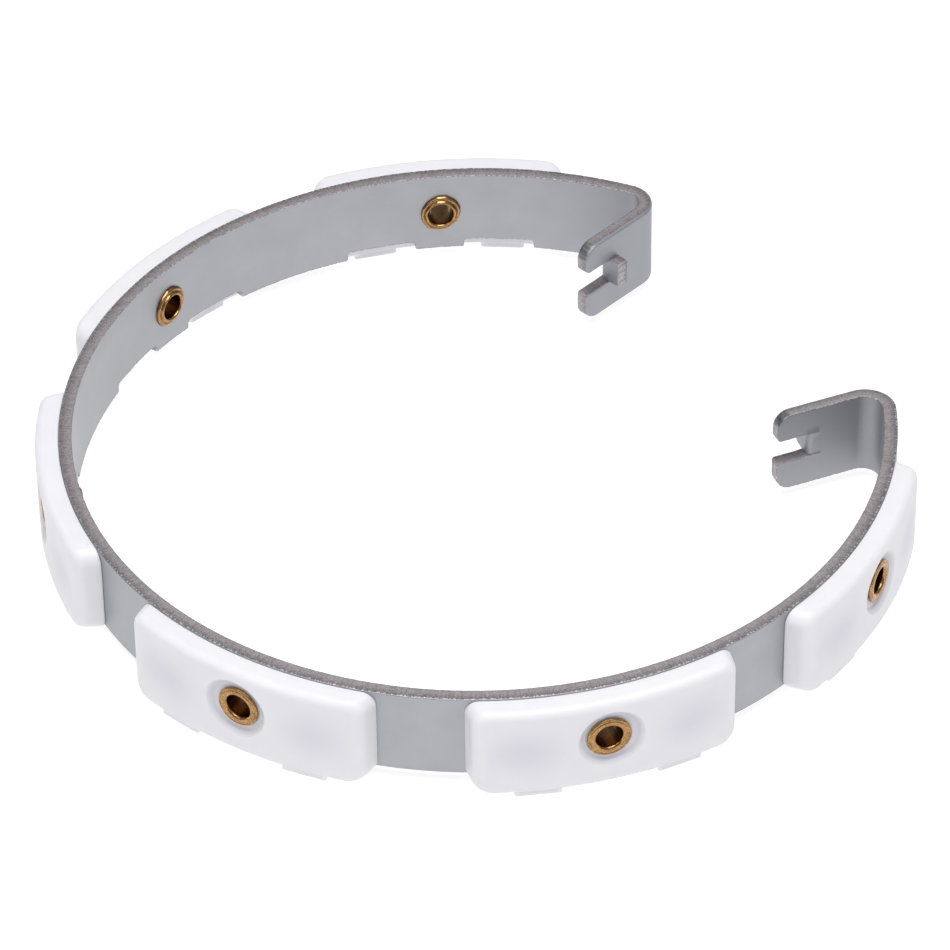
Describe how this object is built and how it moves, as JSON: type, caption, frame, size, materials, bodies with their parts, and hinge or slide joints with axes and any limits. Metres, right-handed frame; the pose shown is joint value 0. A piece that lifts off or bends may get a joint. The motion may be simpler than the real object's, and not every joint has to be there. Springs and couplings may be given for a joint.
{
  "type": "tub damping strap",
  "caption": "Open steel ring with slotted ends turned inwards as spring seats and white friction pads held round its outside by hollow brass eyelet rivets.",
  "frame": {"origin": "centre of the ring on the plane that the pad lugs stand on", "axes": "+Z along the ring's axis, +X from the centre through the middle of the gap"},
  "size_m": [0.1887, 0.2096, 0.0254],
  "materials": {
    "strap_steel": "satin galvanised faces, darker sheared edges",
    "pad_plastic": "smooth moulded, slightly waxy",
    "rivet_brass": "polished rolled lip, dull bore"
  },
  "bodies": {
    "left_side": {"strap_left": "strap_steel", "friction_pad_1": "pad_plastic", "friction_pad_2": "pad_plastic", "friction_pad_3": "pad_plastic", "eyelet_rivet_1": "rivet_brass", "eyelet_rivet_2": "rivet_brass", "eyelet_rivet_3": "rivet_brass"},
    "right_side": {"strap_right": "strap_steel", "friction_pad_4": "pad_plastic", "friction_pad_5": "pad_plastic", "friction_pad_6": "pad_plastic", "eyelet_rivet_4": "rivet_brass", "eyelet_rivet_5": "rivet_brass", "eyelet_rivet_6": "rivet_brass"}
  },
  "joints": [
    {"name": "strap_flex", "type": "hinge", "parent": "left_side", "child": "right_side", "pos_m": [-0.09761, 0, 0.0143], "axis": [0, 0, 1], "range_deg": [-1.5, 5], "stiffness_Nm_per_rad": 34}
  ]
}
